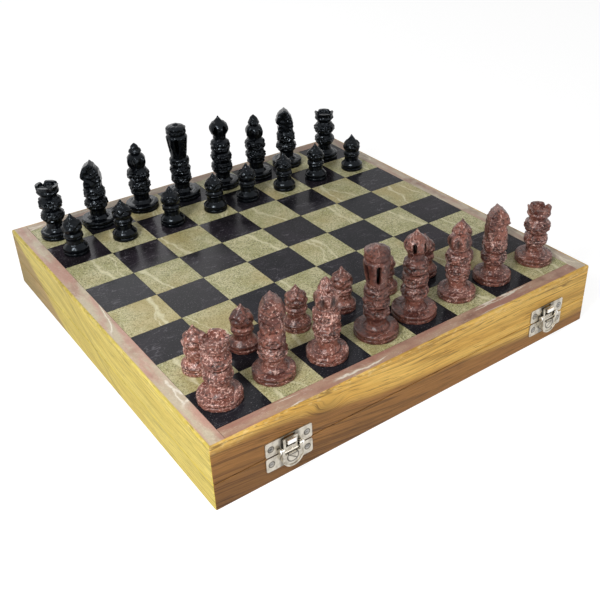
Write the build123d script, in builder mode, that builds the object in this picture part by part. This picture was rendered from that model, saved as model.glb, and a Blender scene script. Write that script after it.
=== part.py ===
"""Chess box with a hinged stone-topped lid, two toggle latches and a set of carved stone men.

Millimetres. The origin is on the underside, at the centre of the box. X runs along the latch
side, Y from the latch side to the hinge side and Z up. Red men stand on the latch side.
"""

from build123d import *
from math import cos, hypot, radians, sin
import os

os.makedirs("parts", exist_ok=True)

# ---------------------------------------------------------------- driving dimensions
# Board: eight squares each way, a stone border and the wooden lip that shows round it.
squares_each_way = 8
square = 35.4
border_width = 9.2
lip = 1.7
stone_thickness = 4.0
stone_joint = 0.15

# Box: one mitred frame, sawn through into a base and a lid.
wall = 9.0
base_height = 18.9
seam_gap = 0.4
lid_height = 26.2
corner_radius = 1.2
arris = 0.5
top_round = 1.2

# Sheets: ply under the stone, ply floor and felt linings.
panel_thickness = 3.0
floor_thickness = 3.0
floor_seat = 4.5
lining_thickness = 1.0
lining_clearance = 0.3

# Butt hinges, let into the rims at the back.
hinge_spacing = 190.0
hinge_length = 32.0
hinge_leaf = 1.0
hinge_leaf_depth = 7.0
hinge_barrel_radius = 2.2
hinge_pin_radius = 1.1
hinge_pin_head = 1.6
hinge_pin_head_thickness = 0.5
hinge_back_clearance = 0.35
hinge_leaf_clearance = 0.3
knuckle_gap = 0.25
hinge_screw_spacing = 20.0

# Toggle latches on the front, side by side with the red men.
latch_centres = {"left": -103.8, "right": 110.6}
latch_width = 31.5
plate_thickness = 0.8
plate_corner = 1.4
keeper_height = 10.2
base_plate_height = 10.0
plate_edge_margin = 0.3
latch_screw_spacing = 24.4
latch_gap = 0.3
pivot_out = 2.7
pivot_rise = 3.2
rivet_radius = 0.8
rivet_head_radius = 1.3
rivet_head_thickness = 0.4
ear_thickness = 0.8
ear_radius = 1.5
ear_inside = 7.0
ear_root = 4.0
lever_sheet = 0.8
lever_face_out = 3.4
lever_reach = 12.9
lip_radius = 7.1
cheek_back = 1.2
finger_rim_inset = 0.1
finger_rim_width = 1.2
finger_rim_height = 0.5
loop_pin_inset = 0.6
loop_pin_drop = 2.8
loop_pin_radius = 0.5
loop_barrel_radius = 0.9
loop_sheet = 0.8
loop_sheet_inset = 0.2
loop_width = 9.6
loop_window_width = 6.4
loop_bar = 1.8
loop_window_drop = 3.2
hook_width = 5.7
hook_rise = 5.8
hook_reach = 3.4
hook_sheet = 0.8
hook_height = 2.8
keeper_window_height = 3.0

# Wood screws, in the plates and in the hinge leaves.
screw_head_radius = 1.7
screw_shank_radius = 0.9
screw_head_height = 0.8
screw_sunk = 0.15
screw_length = 6.8
screw_slot = 0.45

# Running fit of every pin.
pin_fit = 0.05

# Men: a turned foot, then each kind's own stem, beads and head.
foot_height = 5.6
foot_round = 0.6
foot_groove_height = 2.9
foot_groove_width = 0.8
foot_groove_depth = 0.6
pawn_foot = 9.2
red_rook_foot = 13.1
dark_rook_foot = 11.0
knight_foot = 12.9
bishop_foot = 12.7
queen_foot = 14.2
red_king_foot = 14.6
dark_king_foot = 13.0
stem = 6.0
tip_radius = 0.4
rook_height = 42.0
crown_notch = 2.4
crown_notch_depth = 2.6
queen_slot_bottom = 39.0
queen_slot_height = 11.0
king_slot_bottom = 46.6
king_slot_height = 7.0
slot_ring_radius = 7.6
slot_width = 1.9
slot_depth = 3.0
slots_each_head = 6
knight_neck = 31.0
red_knight_height = 54.5
dark_knight_height = 50.6
knight_head_thickness = 11.0
knight_head_round = 1.6
red_knight_turn = -30.0
dark_knight_turn = 150.0

# ---------------------------------------------------------------- places that follow from them
half_field = squares_each_way * square / 2
half_stone = half_field + border_width
half_box = half_stone + lip
half_inside = half_box - wall
half_floor = half_inside + floor_seat
lid_bottom = base_height + seam_gap
top = lid_bottom + lid_height
stone_bottom = top - stone_thickness
panel_bottom = stone_bottom - panel_thickness
hinge_axis_y = half_box + hinge_back_clearance + hinge_barrel_radius
hinge_axis_z = base_height + seam_gap / 2
hinge_centres = {"left": -hinge_spacing / 2, "right": hinge_spacing / 2}
sides = ("right", "back", "left", "front")


def save(part, name):
    """Labels a finished piece and writes it as a node of the same name."""
    part.label = name
    export_step(part, f"parts/{name}.step")


# ---------------------------------------------------------------- screws
def screw_body(sunk):
    """A countersunk wood screw, head up, whose face lies `sunk` below the origin.

    With sunk at 0 it is the hole that the screw is driven into.
    """
    taper = (screw_head_radius - screw_shank_radius) / screw_head_height
    with BuildPart() as body:
        with BuildSketch(Plane.XZ):
            with BuildLine():
                Polyline(
                    (0, -sunk),
                    (screw_head_radius - sunk * taper, -sunk),
                    (screw_shank_radius, -screw_head_height),
                    (screw_shank_radius, -screw_length + screw_shank_radius),
                    (0, -screw_length),
                    close=True,
                )
            make_face()
        revolve(axis=Axis.Z)
    return body.part


with BuildPart() as screw:
    add(screw_body(screw_sunk))
    with Locations((0, 0, -screw_sunk)):
        Box(2 * screw_head_radius, screw_slot, screw_slot, mode=Mode.SUBTRACT)

screw_hole = screw_body(0)


def latch_screw_places(centre, height):
    """Two screws in the front face, at a latch plate's height."""
    out = -half_box - plate_thickness
    return [
        Location((centre + side * latch_screw_spacing / 2, out, height), (90, 0, 0))
        for side in (-1, 1)
    ]


def hinge_screw_places(centre, height, tilt):
    """Two screws in a rim, at one hinge leaf."""
    y = half_box - hinge_leaf_depth / 2
    return [
        Location((centre + side * hinge_screw_spacing / 2, y, height), (tilt, 0, 0))
        for side in (-1, 1)
    ]


keeper_bottom = lid_bottom + plate_edge_margin
keeper_middle = keeper_bottom + keeper_height / 2
base_plate_top = base_height - plate_edge_margin
base_plate_middle = base_plate_top - base_plate_height / 2

lid_latch_screws = [p for c in latch_centres.values() for p in latch_screw_places(c, keeper_middle)]
base_latch_screws = [
    p for c in latch_centres.values() for p in latch_screw_places(c, base_plate_middle)
]
lid_hinge_screws = [
    p for c in hinge_centres.values() for p in hinge_screw_places(c, lid_bottom, 180)
]
base_hinge_screws = [
    p for c in hinge_centres.values() for p in hinge_screw_places(c, base_height, 0)
]

screw_groups = {
    "lid_latch_screws": lid_latch_screws,
    "base_latch_screws": base_latch_screws,
    "lid_hinge_screws": lid_hinge_screws,
    "base_hinge_screws": base_hinge_screws,
}
for name, places in screw_groups.items():
    with BuildPart() as group:
        with Locations(places):
            add(screw.part)
    save(group.part, name)


# ---------------------------------------------------------------- frame rails
def hinge_leaf_recess(height):
    """Shallow pockets in a rim, one for each hinge leaf, open at the back."""
    for centre in hinge_centres.values():
        with Locations((centre, half_box - hinge_leaf_depth, height)):
            Box(
                hinge_length,
                2 * hinge_leaf_depth,
                hinge_leaf,
                align=(Align.CENTER, Align.MIN, Align.MIN),
                mode=Mode.SUBTRACT,
            )


# Base frame: open above, with a rabbet below for the floor.
with BuildPart() as base_frame:
    with BuildSketch():
        RectangleRounded(2 * half_box, 2 * half_box, corner_radius)
        Rectangle(2 * half_inside, 2 * half_inside, mode=Mode.SUBTRACT)
    extrude(amount=base_height)
    with BuildSketch():
        Rectangle(2 * half_floor, 2 * half_floor)
    extrude(amount=floor_thickness, mode=Mode.SUBTRACT)
    rims = base_frame.faces().filter_by(Axis.Z).sort_by(Axis.Z)
    fillet(rims[0].outer_wire().edges() + rims[-1].outer_wire().edges(), arris)
    hinge_leaf_recess(base_height - hinge_leaf)
    with Locations(base_latch_screws + base_hinge_screws):
        add(screw_hole, mode=Mode.SUBTRACT)

# Lid frame: open below, with a rabbet above for the ply and the stone.
with BuildPart() as lid_frame:
    with BuildSketch(Plane.XY.offset(lid_bottom)):
        RectangleRounded(2 * half_box, 2 * half_box, corner_radius)
        Rectangle(2 * half_inside, 2 * half_inside, mode=Mode.SUBTRACT)
    extrude(amount=lid_height)
    with BuildSketch(Plane.XY.offset(panel_bottom)):
        Rectangle(2 * half_stone, 2 * half_stone)
    extrude(amount=panel_thickness + stone_thickness, mode=Mode.SUBTRACT)
    rims = lid_frame.faces().filter_by(Axis.Z).sort_by(Axis.Z)
    fillet(rims[0].outer_wire().edges(), arris)
    fillet(rims[-1].outer_wire().edges(), top_round)
    hinge_leaf_recess(lid_bottom)
    with Locations(lid_latch_screws + lid_hinge_screws):
        add(screw_hole, mode=Mode.SUBTRACT)

# Each frame is four rails that meet in mitres.
for half_name, frame in {"base": base_frame, "lid": lid_frame}.items():
    for quarter, side in enumerate(sides):
        with BuildPart() as rail:
            add(frame.part)
            for turn in (-45, 45):
                mitre = radians(90 * quarter + turn)
                split(bisect_by=Plane((0, 0, 0), z_dir=(cos(mitre), sin(mitre), 0)))
        save(rail.part, f"{half_name}_{side}_rail")


# ---------------------------------------------------------------- floor, panel and linings
def sheet(half_side, bottom, thickness):
    """A square sheet, centred in the box."""
    with BuildPart() as flat:
        with BuildSketch(Plane.XY.offset(bottom)):
            Rectangle(2 * half_side, 2 * half_side)
        extrude(amount=thickness)
    return flat.part


half_lining = half_inside - lining_clearance
save(sheet(half_floor, 0, floor_thickness), "base_floor")
save(sheet(half_stone, panel_bottom, panel_thickness), "lid_panel")
save(sheet(half_lining, floor_thickness, lining_thickness), "base_lining")
save(sheet(half_lining, panel_bottom - lining_thickness, lining_thickness), "lid_lining")

# ---------------------------------------------------------------- stone board
tile = square - stone_joint
squares = [(file, rank) for file in range(squares_each_way) for rank in range(squares_each_way)]


def square_middle(file, rank):
    """The middle of a square, counted from the red queen's side of the latch edge."""
    return ((file + 0.5) * square - half_field, (rank + 0.5) * square - half_field)


for name, parity in {"dark_tiles": 0, "light_tiles": 1}.items():
    with BuildPart() as tiles:
        with BuildSketch(Plane.XY.offset(stone_bottom)):
            with Locations(*[square_middle(f, r) for f, r in squares if (f + r) % 2 == parity]):
                Rectangle(tile, tile)
        extrude(amount=stone_thickness)
    save(tiles.part, name)

# Side strips run the full depth; front and back strips butt against them.
strip_width = border_width - stone_joint
strip_middle = half_stone - strip_width / 2
long_strip = 2 * half_stone
short_strip = 2 * (half_field - stone_joint)
for quarter, side in enumerate(sides):
    strip_length = long_strip if side in ("left", "right") else short_strip
    with BuildPart() as strip:
        with BuildSketch(Plane.XY.offset(stone_bottom)):
            with PolarLocations(strip_middle, 1, start_angle=90 * quarter):
                Rectangle(strip_width, strip_length)
        extrude(amount=stone_thickness)
    save(strip.part, f"border_{side}")

# ---------------------------------------------------------------- hinges
knuckle = (hinge_length - 2 * knuckle_gap) / 3
knuckle_pitch = knuckle + knuckle_gap


def on_hinge_axis(x):
    """A place on the hinge axis, for a cylinder that lies along it."""
    return Location((x, hinge_axis_y, hinge_axis_z), (0, 90, 0))


def hinge_leaf_part(centre, bottom, own_knuckles, other_knuckles, bore):
    """One leaf with its knuckles, cut clear of the other leaf's knuckles."""
    leaf_back = hinge_leaf_depth + hinge_axis_y - half_box
    with BuildPart() as leaf:
        with Locations((centre, half_box - hinge_leaf_depth, bottom)):
            Box(hinge_length, leaf_back, hinge_leaf, align=(Align.CENTER, Align.MIN, Align.MIN))
        with Locations([on_hinge_axis(centre + offset) for offset in other_knuckles]):
            Cylinder(
                hinge_barrel_radius + hinge_leaf_clearance,
                knuckle + 2 * knuckle_gap,
                mode=Mode.SUBTRACT,
            )
        with Locations([on_hinge_axis(centre + offset) for offset in own_knuckles]):
            Cylinder(hinge_barrel_radius, knuckle)
        with Locations(on_hinge_axis(centre)):
            Cylinder(bore, hinge_length, mode=Mode.SUBTRACT)
        with Locations(lid_hinge_screws + base_hinge_screws):
            add(screw_hole, mode=Mode.SUBTRACT)
    return leaf.part


for side, centre in hinge_centres.items():
    ends = (-knuckle_pitch, knuckle_pitch)
    save(
        hinge_leaf_part(centre, base_height - hinge_leaf, ends, (0,), hinge_pin_radius),
        f"{side}_hinge_base_leaf",
    )
    save(
        hinge_leaf_part(centre, lid_bottom, (0,), ends, hinge_pin_radius + pin_fit),
        f"{side}_hinge_lid_leaf",
    )
    head_offset = (hinge_length + hinge_pin_head_thickness) / 2
    with BuildPart() as pin:
        with Locations(on_hinge_axis(centre)):
            Cylinder(hinge_pin_radius, hinge_length)
        with Locations([on_hinge_axis(centre + end * head_offset) for end in (-1, 1)]):
            Cylinder(hinge_pin_head, hinge_pin_head_thickness)
    save(pin.part, f"{side}_hinge_pin")

# ---------------------------------------------------------------- latches
# Places in a latch's section: outwards from the wood, then up from the underside.
pivot_z = base_plate_top + pivot_rise
loop_pin_out = pivot_out - loop_pin_inset
loop_pin_z = pivot_z - loop_pin_drop
loop_out = loop_pin_out - loop_sheet_inset - loop_sheet / 2
lever_half = ear_inside - latch_gap
cheek_inside = lever_half - lever_sheet
lever_face_front = lever_face_out + lever_sheet
lip_centre_z = pivot_z - lever_reach + lip_radius
cheek_bottom = lip_centre_z - (lip_radius**2 - lever_half**2) ** 0.5
slot_bottom = loop_pin_z - loop_sheet / 2 - loop_sheet_inset
hook_z = keeper_bottom + hook_rise
loop_bar_z = hook_z + hook_sheet + latch_gap
loop_window_z = hook_z - loop_window_drop


def front_plane(out):
    """The plane parallel to the front face, `out` from it: x along the box, y up."""
    return Plane.XZ.offset(half_box + out)


def section_plane(centre):
    """The plane square to the front face through a latch: x outwards, y up."""
    return Plane((centre, -half_box, 0), x_dir=(0, -1, 0), z_dir=(-1, 0, 0))


def keeper_plate(centre):
    """Lid plate with a window, whose tongue is bent out and up into a hook."""
    with BuildPart() as keeper:
        with BuildSketch(front_plane(0)):
            with Locations((centre, keeper_middle)):
                RectangleRounded(latch_width, keeper_height, plate_corner)
            with Locations((centre, hook_z + hook_sheet)):
                Rectangle(
                    loop_window_width,
                    keeper_window_height,
                    align=(Align.CENTER, Align.MIN),
                    mode=Mode.SUBTRACT,
                )
        extrude(amount=plate_thickness)
        with BuildSketch(section_plane(centre)):
            with Locations((0, hook_z)):
                Rectangle(hook_reach + hook_sheet, hook_sheet, align=(Align.MIN, Align.MIN))
            with Locations((hook_reach, hook_z)):
                Rectangle(hook_sheet, hook_height, align=(Align.MIN, Align.MIN))
        extrude(amount=hook_width / 2, both=True)
        with Locations(lid_latch_screws):
            add(screw_hole, mode=Mode.SUBTRACT)
    return keeper.part


def base_plate(centre):
    """Base plate with two ears that reach up past the seam and carry the lever."""
    with BuildPart() as plate:
        with BuildSketch(front_plane(0)):
            with Locations((centre, base_plate_middle)):
                RectangleRounded(latch_width, base_plate_height, plate_corner)
        extrude(amount=plate_thickness)
        for side in (-1, 1):
            ear_middle = centre + side * (ear_inside + ear_thickness / 2)
            with BuildSketch(section_plane(ear_middle)):
                with Locations((0, base_plate_top)):
                    Rectangle(plate_thickness, ear_root, align=(Align.MIN, Align.MAX))
                with Locations((pivot_out, pivot_z)):
                    Circle(ear_radius)
                make_hull()
                with Locations((0, base_plate_top)):
                    Rectangle(
                        plate_thickness + latch_gap,
                        2 * pivot_rise,
                        align=(Align.MIN, Align.MIN),
                        mode=Mode.SUBTRACT,
                    )
                with Locations((pivot_out, pivot_z)):
                    Circle(rivet_radius, mode=Mode.SUBTRACT)
            extrude(amount=ear_thickness / 2, both=True)
        with Locations(base_latch_screws):
            add(screw_hole, mode=Mode.SUBTRACT)
    return plate.part


def lip_outline(centre, inset):
    """Lever face seen from the front: straight sides over a round lip, drawn `inset` smaller."""
    with Locations((centre, lip_centre_z)):
        Circle(lip_radius - inset)
    with Locations((centre, cheek_bottom)):
        Rectangle(2 * lever_half, 2 * lip_radius, align=(Align.CENTER, Align.MIN), mode=Mode.SUBTRACT)


def lever(centre):
    """Toggle lever: two cheeks on the rivets and a face that is slotted above a round lip."""
    with BuildPart() as toggle:
        # Both cheeks, as one block, emptied between them.
        with BuildSketch(section_plane(centre)):
            with Locations((pivot_out, pivot_z)):
                Circle(lever_face_front - pivot_out)
            with Locations((cheek_back, cheek_bottom)):
                Rectangle(
                    lever_face_front - cheek_back,
                    pivot_z - cheek_bottom,
                    align=(Align.MIN, Align.MIN),
                )
        extrude(amount=lever_half, both=True)
        with BuildSketch(section_plane(centre)):
            Rectangle(2 * lever_face_out, 2 * top)
        extrude(amount=cheek_inside, both=True, mode=Mode.SUBTRACT)
        # Slot for the loop, open above, and the bores.
        with BuildSketch(front_plane(0)):
            with Locations((centre, slot_bottom)):
                Rectangle(
                    loop_width + 2 * latch_gap,
                    lip_radius,
                    align=(Align.CENTER, Align.MIN),
                )
        extrude(amount=2 * lever_face_front, mode=Mode.SUBTRACT)
        with BuildSketch(section_plane(centre)):
            with Locations((pivot_out, pivot_z)):
                Circle(rivet_radius + pin_fit)
            with Locations((loop_pin_out, loop_pin_z)):
                Circle(loop_pin_radius)
        extrude(amount=lever_half, both=True, mode=Mode.SUBTRACT)
        # Round lip below, with a raised rim for the finger.
        with BuildSketch(front_plane(lever_face_out)):
            lip_outline(centre, 0)
        extrude(amount=lever_sheet)
        with BuildSketch(front_plane(lever_face_front)):
            lip_outline(centre, finger_rim_inset)
            with Locations((centre, lip_centre_z)):
                Circle(lip_radius - finger_rim_width, mode=Mode.SUBTRACT)
        extrude(amount=finger_rim_height)
    return toggle.part


def draw_loop(centre):
    """Flat loop: a barrel on the lever's cross pin and a windowed strap over the hook."""
    with BuildPart() as loop:
        with BuildSketch(front_plane(loop_out)):
            with Locations((centre, loop_pin_z)):
                Rectangle(
                    loop_width,
                    loop_bar_z + loop_bar - loop_pin_z,
                    align=(Align.CENTER, Align.MIN),
                )
            with Locations((centre, loop_window_z)):
                Rectangle(
                    loop_window_width,
                    loop_bar_z - loop_window_z,
                    align=(Align.CENTER, Align.MIN),
                    mode=Mode.SUBTRACT,
                )
        extrude(amount=loop_sheet)
        with BuildSketch(section_plane(centre)):
            with Locations((loop_pin_out, loop_pin_z)):
                Circle(loop_barrel_radius)
        extrude(amount=loop_width / 2, both=True)
        with BuildSketch(section_plane(centre)):
            with Locations((loop_pin_out, loop_pin_z)):
                Circle(loop_pin_radius + pin_fit)
        extrude(amount=cheek_inside, both=True, mode=Mode.SUBTRACT)
    return loop.part


def pivot_rivets(centre):
    """Two short rivets, headed outside the ears, on which the lever turns."""
    with BuildPart() as rivets:
        for side in (-1, 1):
            shank_length = ear_inside + ear_thickness - cheek_inside
            shank_middle = centre + side * (cheek_inside + shank_length / 2)
            with BuildSketch(section_plane(shank_middle)):
                with Locations((pivot_out, pivot_z)):
                    Circle(rivet_radius)
            extrude(amount=shank_length / 2, both=True)
            head_middle = centre + side * (ear_inside + ear_thickness + rivet_head_thickness / 2)
            with BuildSketch(section_plane(head_middle)):
                with Locations((pivot_out, pivot_z)):
                    Circle(rivet_head_radius)
            extrude(amount=rivet_head_thickness / 2, both=True)
    return rivets.part


def cross_pin(centre):
    """Pin through the lever's cheeks that carries the loop."""
    with BuildPart() as pin:
        with BuildSketch(section_plane(centre)):
            with Locations((loop_pin_out, loop_pin_z)):
                Circle(loop_pin_radius)
        extrude(amount=lever_half, both=True)
    return pin.part


for side, centre in latch_centres.items():
    save(keeper_plate(centre), f"{side}_latch_keeper")
    save(base_plate(centre), f"{side}_latch_base_plate")
    save(lever(centre), f"{side}_latch_lever")
    save(draw_loop(centre), f"{side}_latch_loop")
    save(pivot_rivets(centre), f"{side}_latch_rivets")
    save(cross_pin(centre), f"{side}_latch_cross_pin")


# ---------------------------------------------------------------- chessmen
# An outline is a list of (radius, height) stations going up from the board. A third value is
# how far the stretch up to that station swells outwards, or inwards where it is negative.
def foot(radius):
    """Round foot with a turned groove, and the small ring that the stem rises from."""
    return [
        (radius - foot_round, 0),
        (radius, foot_round),
        (radius, foot_groove_height - foot_groove_width / 2),
        (radius - foot_groove_depth, foot_groove_height),
        (radius, foot_groove_height + foot_groove_width / 2),
        (radius, foot_height - foot_round),
        (radius - foot_round, foot_height),
        (stem + 1.8, foot_height + 0.8),
        (stem, foot_height + 2.6),
    ]


def turned(stations):
    """Revolves an outline that starts at the board; its last station closes flat to the axis."""
    with BuildPart() as man:
        with BuildSketch(Plane.XZ):
            with BuildLine():
                Line((0, 0), stations[0][:2])
                for start, end in zip(stations, stations[1:]):
                    (x0, z0), (x1, z1) = start[:2], end[:2]
                    swell = end[2] if len(end) > 2 else 0
                    if swell:
                        length = hypot(x1 - x0, z1 - z0)
                        middle = (
                            (x0 + x1) / 2 + swell * (z1 - z0) / length,
                            (z0 + z1) / 2 - swell * (x1 - x0) / length,
                        )
                        ThreePointArc((x0, z0), middle, (x1, z1))
                    else:
                        Line((x0, z0), (x1, z1))
                Line(stations[-1][:2], (0, stations[-1][1]))
                Line((0, stations[-1][1]), (0, 0))
            make_face()
        revolve(axis=Axis.Z)
    return man.part


pawn = turned(
    foot(pawn_foot)
    + [
        (5.8, 11.6),
        (6.6, 12.8),
        (6.3, 15.8, 0.8),
        (5.8, 16.6),
        (5.2, 25.4, 1.9),
        (tip_radius, 31.3, -0.5),
    ]
)

bishop = turned(
    foot(bishop_foot)
    + [
        (6.0, 12.6),
        (7.6, 14.2),
        (6.8, 16.4, 0.4),
        (6.8, 24.6, 1.6),
        (7.0, 33.8, 1.6),
        (6.2, 35.6, -0.4),
        (3.6, 46.6, 3.0),
        (4.9, 48.0),
        (tip_radius, 54.9, 0.7),
    ]
)


def rook(foot_radius):
    """Two beads under a hollow crown that is notched crosswise."""
    body = turned(
        foot(foot_radius)
        + [
            (5.7, 12.6),
            (7.4, 14.4),
            (7.0, 21.4, 1.4),
            (6.6, 23.4, -0.3),
            (6.6, 32.4, 2.4),
            (6.2, 34.4, -0.3),
            (8.2, 37.0),
            (8.3, rook_height, -0.4),
            (6.2, rook_height),
            (5.6, rook_height - 2.2),
        ]
    )
    with BuildPart() as crowned:
        add(body)
        with Locations((0, 0, rook_height)):
            with PolarLocations(0, 2, angular_range=180):
                Box(4 * stem, crown_notch, 2 * crown_notch_depth, mode=Mode.SUBTRACT)
    return crowned.part


def slotted(body, bottom, height):
    """A hollow-looking head: upright slots cut round it."""
    with BuildPart() as head:
        add(body)
        with Locations((0, 0, bottom)):
            with PolarLocations(slot_ring_radius, slots_each_head):
                Box(
                    2 * slot_depth,
                    slot_width,
                    height,
                    align=(Align.CENTER, Align.CENTER, Align.MIN),
                    mode=Mode.SUBTRACT,
                )
    return head.part


queen_body = turned(
    foot(queen_foot)
    + [
        (6.0, 12.0),
        (7.6, 14.0),
        (7.0, 20.6, 1.2),
        (7.0, 27.4, 1.2),
        (7.6, 33.4, 0.8),
        (6.4, 36.2, -0.3),
        (8.4, 50.4),
        (7.2, 53.2, 0.5),
        (7.9, 55.0),
        (7.9, 59.0),
        (2.4, 61.0, 0.6),
        (tip_radius, 62.4, 0.4),
    ]
)
queen = slotted(queen_body, queen_slot_bottom, queen_slot_height)


def king(foot_radius):
    """Three beads under a slotted onion dome."""
    body = turned(
        foot(foot_radius)
        + [
            (6.0, 12.0),
            (7.8, 14.0),
            (7.0, 22.4, 1.4),
            (7.0, 31.0, 1.4),
            (7.4, 39.6, 1.0),
            (5.2, 42.6, -0.3),
            (5.4, 45.2),
            (5.2, 55.8, 2.6),
            (tip_radius, 61.0, -0.6),
        ]
    )
    return slotted(body, king_slot_bottom, king_slot_height)


def knight(height):
    """A turned body under a flat-cheeked horse's head, muzzle towards +X."""
    body = turned(
        foot(knight_foot)
        + [
            (6.0, 12.6),
            (7.6, 14.2),
            (6.8, 22.0, 1.4),
            (7.0, 30.0, 1.4),
            (6.4, knight_neck + 1),
        ]
    )
    with BuildPart() as horse:
        with BuildSketch(Plane.XZ):
            with BuildLine():
                Polyline(
                    (-6.0, knight_neck),
                    (6.4, knight_neck),
                    (7.0, height - 17.1),
                    (5.4, height - 13.5),
                    (8.4, height - 11.1),
                    (7.4, height - 7.7),
                )
                ThreePointArc((7.4, height - 7.7), (4.8, height - 3.1), (0.6, height))
                ThreePointArc((0.6, height), (-6.6, height - 9.1), (-6.0, knight_neck))
            make_face()
        extrude(amount=knight_head_thickness / 2, both=True)
        cheek_edges = horse.faces().filter_by(Axis.Y).edges()
        chamfer(cheek_edges.filter_by(GeomType.CIRCLE), knight_head_round)
        add(body)
    return horse.part


def standing(file, rank, nudge, turn):
    """A man's place: the middle of its square, nudged by hand and turned about its foot."""
    x, y = square_middle(file, rank)
    return Location((x + nudge[0], y + nudge[1], top), (0, 0, turn))


# Men from the queen's side, and how far off the middle of its square each was set down.
ranks = {
    "home": ("rooks", "knights", "bishops", "queen", "king", "bishops", "knights", "rooks"),
    "pawn": ("pawns",) * squares_each_way,
}
nudges = {
    ("red", "home"): [
        (-3, 3.5), (-2.5, 3.5), (-2.5, -0.5), (0, 0),
        (-2.5, 2), (-1, 1.5), (-2.5, 2), (3.5, 1.5),
    ],
    ("red", "pawn"): [(0, 0), (-2.5, 2), (0, 0), (0, 0), (0, 0), (0, 0), (0, 0), (0, 0)],
    ("dark", "pawn"): [
        (-2, 0.5), (0.5, -0.5), (4, -2), (6.5, -1.5),
        (1.6, -1), (0.8, -2.5), (-2, -2), (-1, -5),
    ],
    ("dark", "home"): [
        (-4, -1.6), (-5.2, -1.5), (-2.5, 2), (-2, 1.5),
        (-1, -1.5), (-4, -2.5), (-5, 2.5), (-4.7, -5.5),
    ],
}
men = {
    "red": {
        "rooks": rook(red_rook_foot),
        "knights": knight(red_knight_height),
        "bishops": bishop,
        "queen": queen,
        "king": king(red_king_foot),
        "pawns": pawn,
    },
    "dark": {
        "rooks": rook(dark_rook_foot),
        "knights": knight(dark_knight_height),
        "bishops": bishop,
        "queen": queen,
        "king": king(dark_king_foot),
        "pawns": pawn,
    },
}
last_rank = squares_each_way - 1
rank_places = {
    "red": {"home": 0, "pawn": 1},
    "dark": {"home": last_rank, "pawn": last_rank - 1},
}
knight_turns = {"red": red_knight_turn, "dark": dark_knight_turn}
for army, shapes in men.items():
    for kind, man in shapes.items():
        turn = knight_turns[army] if kind == "knights" else 0
        stands = [
            standing(file, rank_places[army][row], nudges[army, row][file], turn)
            for row, order in ranks.items()
            for file, holds in enumerate(order)
            if holds == kind
        ]
        with BuildPart() as group:
            with Locations(stands):
                add(man)
        save(group.part, f"{army}_{kind}")
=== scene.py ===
"""Looks of the chess box with a hinged stone-topped lid, two toggle latches and carved stone men.

Metres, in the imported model's frame: X along the latch side, Y from the latch side to the
hinge side, Z up. The red army stands on the latch side.
"""

from math import atan2, ceil, exp, hypot, pi, radians, sin

import bmesh
import bpy
from mathutils import Matrix, Vector, noise


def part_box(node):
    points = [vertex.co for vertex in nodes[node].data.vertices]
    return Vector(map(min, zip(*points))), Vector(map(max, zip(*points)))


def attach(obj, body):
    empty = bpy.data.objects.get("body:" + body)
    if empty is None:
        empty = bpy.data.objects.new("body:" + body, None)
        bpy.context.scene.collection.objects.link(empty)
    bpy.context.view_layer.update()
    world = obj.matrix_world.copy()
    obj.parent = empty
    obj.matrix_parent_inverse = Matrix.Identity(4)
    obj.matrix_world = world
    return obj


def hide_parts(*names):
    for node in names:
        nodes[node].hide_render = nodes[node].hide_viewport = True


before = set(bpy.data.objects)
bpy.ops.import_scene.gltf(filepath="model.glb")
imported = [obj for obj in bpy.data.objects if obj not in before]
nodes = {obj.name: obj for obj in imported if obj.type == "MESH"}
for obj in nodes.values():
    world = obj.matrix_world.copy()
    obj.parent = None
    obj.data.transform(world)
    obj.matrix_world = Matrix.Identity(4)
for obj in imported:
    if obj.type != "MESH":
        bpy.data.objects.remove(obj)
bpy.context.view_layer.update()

# ---------------------------------------------------------------- view and studio
# The camera looks down on the corner between the left side and the latch side. The box stands
# on a white floor in a white surround, lit by four lamps: a broad and a small one on the left,
# a small one in front and a broad one behind.
camera_place = (-0.29045, -0.45467, 0.34664)
camera_turn = (58.0638, 0.3776, -37.2832)
film_width, lens_length, film_shift = 36, 50.3106, (-0.0769, -0.0237)
nearest_seen = 0.01
camera = bpy.data.objects.new("camera", bpy.data.cameras.new("camera"))
camera.location = camera_place
camera.rotation_euler = [radians(a) for a in camera_turn]
camera.data.sensor_width = film_width
camera.data.lens = lens_length
camera.data.shift_x, camera.data.shift_y = film_shift
camera.data.clip_start = nearest_seen
bpy.context.scene.collection.objects.link(camera)
bpy.context.scene.camera = camera
bpy.context.scene.view_settings.view_transform = "Standard"


class Value:
    """A socket in a node tree, on which sums can be written."""

    def __init__(self, tree, socket):
        self.tree = tree
        self.socket = socket

    def sum_with(self, operation, other, swapped=False):
        """A Math node on this value and another value or number."""
        math = self.tree.nodes.new("ShaderNodeMath")
        math.operation = operation
        for slot, term in zip(math.inputs, (other, self) if swapped else (self, other)):
            if isinstance(term, Value):
                self.tree.links.new(term.socket, slot)
            elif term is not None:
                slot.default_value = term
        return Value(self.tree, math.outputs[0])

    def __add__(self, other):
        return self.sum_with("ADD", other)

    def __sub__(self, other):
        return self.sum_with("SUBTRACT", other)

    def __rsub__(self, other):
        return self.sum_with("SUBTRACT", other, True)

    def __mul__(self, other):
        return self.sum_with("MULTIPLY", other)

    def __truediv__(self, other):
        return self.sum_with("DIVIDE", other)

    def __abs__(self):
        return self.sum_with("ABSOLUTE", None)

    def __gt__(self, other):
        return self.sum_with("GREATER_THAN", other)

    def larger(self, other):
        return self.sum_with("MAXIMUM", other)

    def root(self):
        return self.sum_with("SQRT", None)

    def floor(self):
        return self.sum_with("FLOOR", None)

    def past_whole(self):
        return self.sum_with("FRACT", None)

    __radd__ = __add__
    __rmul__ = __mul__


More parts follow.
